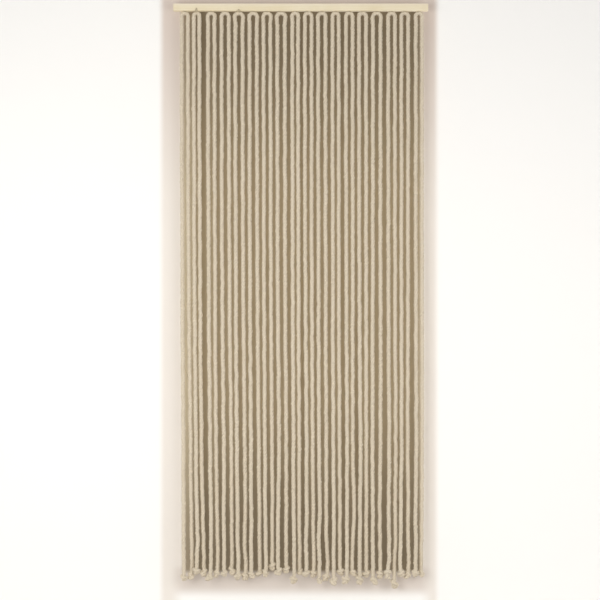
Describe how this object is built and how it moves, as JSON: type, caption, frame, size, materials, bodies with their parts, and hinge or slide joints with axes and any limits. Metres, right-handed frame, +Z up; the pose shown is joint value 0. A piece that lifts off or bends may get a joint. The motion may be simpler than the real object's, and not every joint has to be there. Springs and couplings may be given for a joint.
{
  "type": "rope door curtain on a wooden batten",
  "caption": "Door curtain of soft knotted ropes, looped side by side under a plain wooden batten that fixes flat above a doorway",
  "frame": {"origin": "middle of the batten's back face, where it lies on the wall above the doorway", "axes": "+Z up, +Y into the wall, -Y towards the room and the viewer, +X along the batten to the viewer's right"},
  "size_m": [0.9, 0.0363, 2.069],
  "materials": {
    "batten": "pale planed pine, matt, faint long grain, edges eased",
    "rope": "undyed cotton rope, soft laid, matt and slightly hairy"
  },
  "bodies": {
    "root": {"batten": "batten", "rope_01": "rope", "rope_02": "rope", "rope_03": "rope", "rope_04": "rope", "rope_05": "rope", "rope_06": "rope", "rope_07": "rope", "rope_08": "rope", "rope_09": "rope", "rope_10": "rope", "rope_11": "rope", "rope_12": "rope", "rope_13": "rope", "rope_14": "rope", "rope_15": "rope", "rope_16": "rope", "rope_17": "rope", "rope_18": "rope"}
  },
  "joints": []
}
